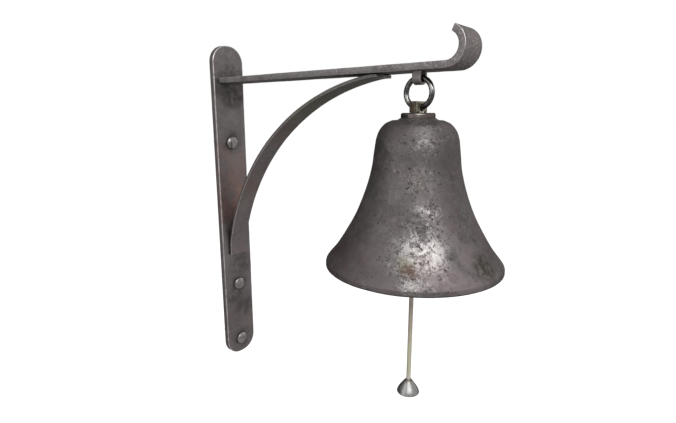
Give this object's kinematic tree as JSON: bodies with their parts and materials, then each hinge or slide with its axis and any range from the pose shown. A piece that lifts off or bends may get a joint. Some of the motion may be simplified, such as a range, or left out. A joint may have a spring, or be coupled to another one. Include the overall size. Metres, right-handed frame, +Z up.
{
  "type": "yard dinner bell",
  "caption": "Cast bell with a clapper on a pull rod, hung by a ring from a forged wall bracket with a curved brace and a scrolled arm.",
  "frame": {"origin": "centre of the back plate's rear face, where it lies on the wall", "axes": "+X out from the wall along the arm, +Y sideways along the wall, +Z up"},
  "size_m": [0.307, 0.13, 0.32],
  "materials": {
    "forged_iron": "dark weathered forged iron, worn bright on its edges, with brown rust",
    "cast_iron": "weathered casting, brown-grey, scratched bright where it is handled",
    "dark_steel": "dark steel worn smooth and glossy",
    "bronze_brown_iron": "brown and olive tarnished iron",
    "fastener_steel": "dulled steel fasteners",
    "pale_brass": "pale smooth brass rod",
    "polished_steel": "polished steel knob"
  },
  "bodies": {
    "bracket": {"back_plate": "forged_iron", "wall_screw_top": "fastener_steel", "wall_screw_middle": "fastener_steel", "wall_screw_bottom": "fastener_steel", "arm": "forged_iron", "brace": "forged_iron", "brace_foot_rivet": "forged_iron", "brace_tip_rivet": "forged_iron", "hanger_staple": "forged_iron"},
    "ring": {"ring": "dark_steel"},
    "bell": {"crown_eyebolt": "bronze_brown_iron", "crown_collar": "cast_iron", "bell": "cast_iron", "inner_washer": "fastener_steel", "crown_nut": "fastener_steel", "jam_nut": "fastener_steel", "clapper_pin": "fastener_steel"},
    "clapper": {"pull_rod": "pale_brass", "clapper_ball": "cast_iron", "ball_nut_upper": "fastener_steel", "ball_nut_lower": "fastener_steel", "pull_knob": "polished_steel"}
  },
  "joints": [
    {"name": "ring_swing", "type": "hinge", "parent": "bracket", "child": "ring", "pos_m": [0.217, 0, 0.121], "axis": [1, 0, 0], "range_deg": [-75, 75]},
    {"name": "bell_swing", "type": "hinge", "parent": "ring", "child": "bell", "pos_m": [0.217, 0, 0.111], "axis": [0, 1, 0], "range_deg": [-40, 40]},
    {"name": "clapper_swing", "type": "hinge", "parent": "bell", "child": "clapper", "pos_m": [0.217, 0, 0.07], "axis": [0, 1, 0], "range_deg": [-28, 28]}
  ]
}
